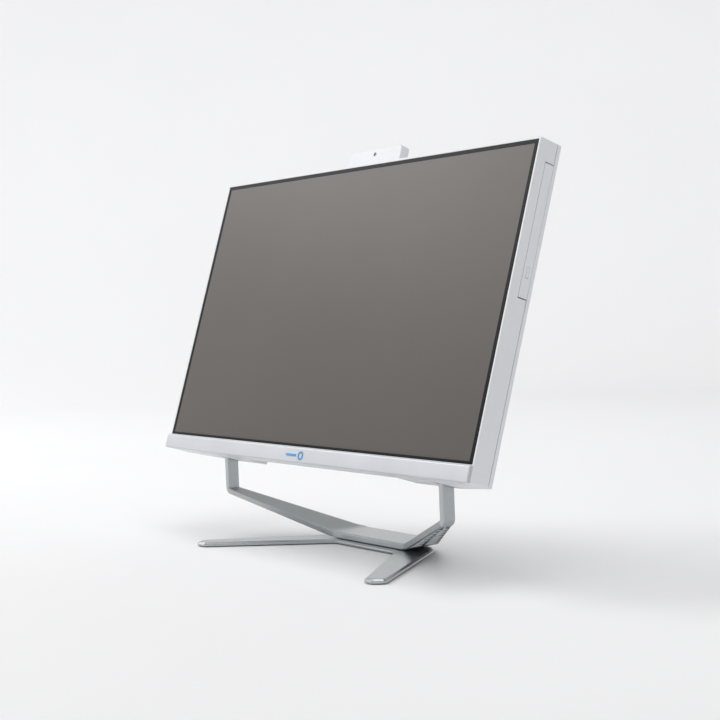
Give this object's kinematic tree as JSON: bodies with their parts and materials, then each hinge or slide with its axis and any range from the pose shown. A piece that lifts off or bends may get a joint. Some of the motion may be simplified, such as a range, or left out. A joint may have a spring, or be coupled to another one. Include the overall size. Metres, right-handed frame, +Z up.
{
  "type": "all in one pc",
  "caption": "Slim white display unit with a computer inside, side optical drive and pop-up camera, tilting on a cast arch stand with a splayed foot.",
  "frame": {"origin": "on the table plane, under the middle of the whole object", "axes": "+X to the right of someone facing the screen, +Y to the back, +Z up"},
  "size_m": [0.541, 0.1636, 0.4248],
  "materials": {
    "shell_white": "fine texture, satin white",
    "chin_silver": "satin silver",
    "stand_alloy": "satin cast and painted silver",
    "pad_rubber": "matte",
    "steel": "zinc plated",
    "black_plastic": "matte",
    "panel_glass": "anti-glare",
    "panel_optics": "white sheet stack",
    "board_green": "solder mask",
    "copper": "bare copper",
    "alloy": "bare",
    "badge_blue": "printed",
    "lens_black": "polished",
    "socket_metal": "nickel plated",
    "tray_grey": "matte",
    "door_white": "satin"
  },
  "bodies": {
    "stand": {"stand_arch": "stand_alloy", "foot_base": "stand_alloy", "foot_pads": "pad_rubber", "stand_screws": "steel", "hinge_pins": "steel"},
    "display_unit": {"front_frame": "shell_white", "chin_panel": "chin_silver", "chin_badge": "badge_blue", "rear_cover": "shell_white", "cover_screws": "steel", "panel_bezel": "black_plastic", "lcd_panel": "panel_glass", "backlight_unit": "panel_optics", "lcd_tray": "steel", "panel_controller": "board_green", "chassis_plate": "alloy", "hinge_bracket_left": "steel", "hinge_bracket_right": "steel", "motherboard": "board_green", "cpu_cold_plate": "copper", "heat_pipes": "copper", "fin_stack": "alloy", "fan_housing": "black_plastic", "memory_modules": "board_green", "chipset_heatsink": "alloy", "solid_state_drive": "board_green", "hard_drive": "alloy", "wifi_card": "board_green", "antennas": "black_plastic", "io_plate": "steel", "usb_ports": "socket_metal", "lan_port": "socket_metal", "hdmi_port": "socket_metal", "audio_jacks": "black_plastic", "power_inlet": "black_plastic", "speaker_left": "black_plastic", "speaker_right": "black_plastic", "power_switch_board": "board_green", "drive_case": "steel", "camera_guide": "black_plastic"},
    "fan": {"fan_impeller": "black_plastic"},
    "drive_tray": {"disc_loader": "tray_grey", "tray_door": "door_white", "spindle_motor": "steel"},
    "spindle": {"disc_spindle": "black_plastic"},
    "pickup": {"laser_sled": "tray_grey"},
    "eject_key": {"eject_button": "door_white"},
    "power_key": {"power_button": "chin_silver"},
    "camera": {"camera_housing": "shell_white", "camera_lens": "lens_black", "camera_board": "board_green"}
  },
  "joints": [
    {"name": "display_tilt", "type": "hinge", "parent": "stand", "child": "display_unit", "pos_m": [0, -0.01336, 0.10614], "axis": [1, 0, 0], "range_deg": [0, 23]},
    {"name": "camera_slide", "type": "slide", "parent": "display_unit", "child": "camera", "axis": [0, 0.3103, 0.9506], "range_m": [-0.021, 0]},
    {"name": "tray_slide", "type": "slide", "parent": "display_unit", "child": "drive_tray", "axis": [1, 0, 0], "range_m": [0, 0.115]},
    {"name": "disc_spin", "type": "hinge", "parent": "drive_tray", "child": "spindle", "pos_m": [0.2066, 0.03742, 0.32193], "axis": [0, 0.9506, -0.3103], "continuous": true},
    {"name": "pickup_slide", "type": "slide", "parent": "drive_tray", "child": "pickup", "axis": [-1, 0, 0], "range_m": [0, 0.022]},
    {"name": "eject_press", "type": "slide", "parent": "drive_tray", "child": "eject_key", "axis": [-1, 0, 0], "range_m": [0, 0.0006], "stiffness_N_per_m": 400, "springref_m": -0.001},
    {"name": "power_press", "type": "slide", "parent": "display_unit", "child": "power_key", "axis": [0, 0.3103, 0.9506], "range_m": [0, 0.0007], "stiffness_N_per_m": 500, "springref_m": -0.001},
    {"name": "fan_spin", "type": "hinge", "parent": "display_unit", "child": "fan", "pos_m": [-0.12, 0.03771, 0.23358], "axis": [0, 0.9506, -0.3103], "continuous": true}
  ]
}
